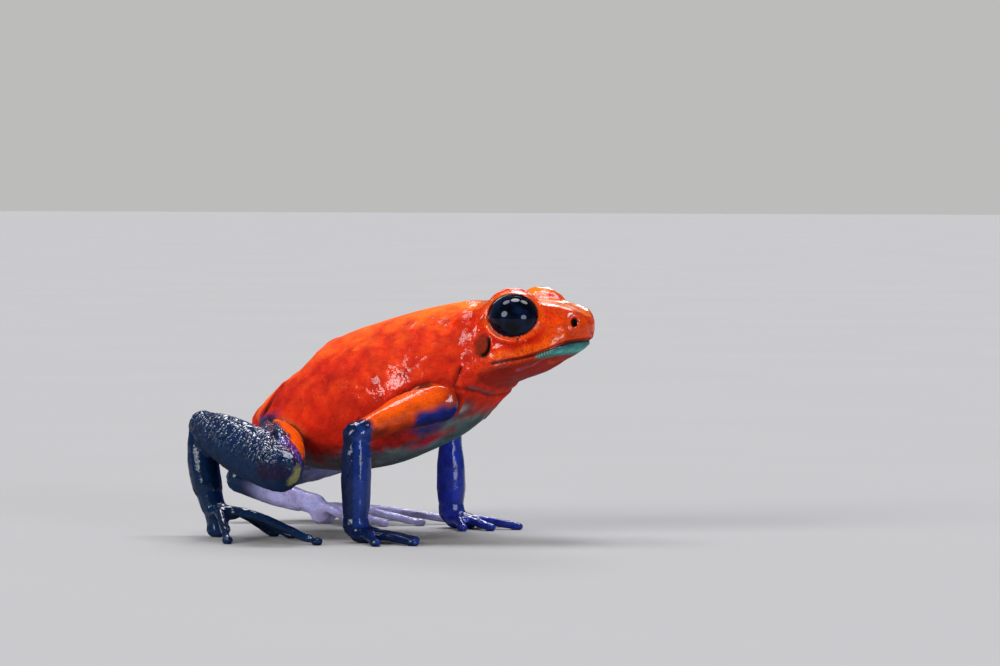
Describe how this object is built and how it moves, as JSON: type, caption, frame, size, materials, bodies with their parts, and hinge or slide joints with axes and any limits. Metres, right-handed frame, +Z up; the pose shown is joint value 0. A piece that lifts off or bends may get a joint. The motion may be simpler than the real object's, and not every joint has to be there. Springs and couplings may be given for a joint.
{
  "type": "strawberry poison dart frog figure",
  "caption": "Life-size small frog standing high on its fore legs, folded hind legs, spread toes with pads, smooth wet red skin and dark blue limbs.",
  "frame": {"origin": "middle of the box round the frog, on the floor it stands on", "axes": "+X forwards, the way the snout points; +Y towards the frog's left side; +Z up from the floor"},
  "size_m": [0.0254, 0.022, 0.0142],
  "materials": {
    "orange_red_skin": "wet gloss",
    "navy_blue_skin": "wet gloss",
    "black_eye": "polished"
  },
  "bodies": {
    "root": {"head": "orange_red_skin", "torso": "orange_red_skin", "upper_arm_right": "orange_red_skin", "upper_arm_left": "orange_red_skin", "forearm_right": "navy_blue_skin", "forearm_left": "navy_blue_skin", "hand_right": "navy_blue_skin", "hand_left": "navy_blue_skin", "thigh_right": "navy_blue_skin", "thigh_left": "navy_blue_skin", "shank_right": "navy_blue_skin", "shank_left": "navy_blue_skin", "tarsus_right": "navy_blue_skin", "tarsus_left": "navy_blue_skin", "foot_right": "navy_blue_skin", "foot_left": "navy_blue_skin", "eye_right": "black_eye", "eye_left": "black_eye"}
  },
  "joints": []
}
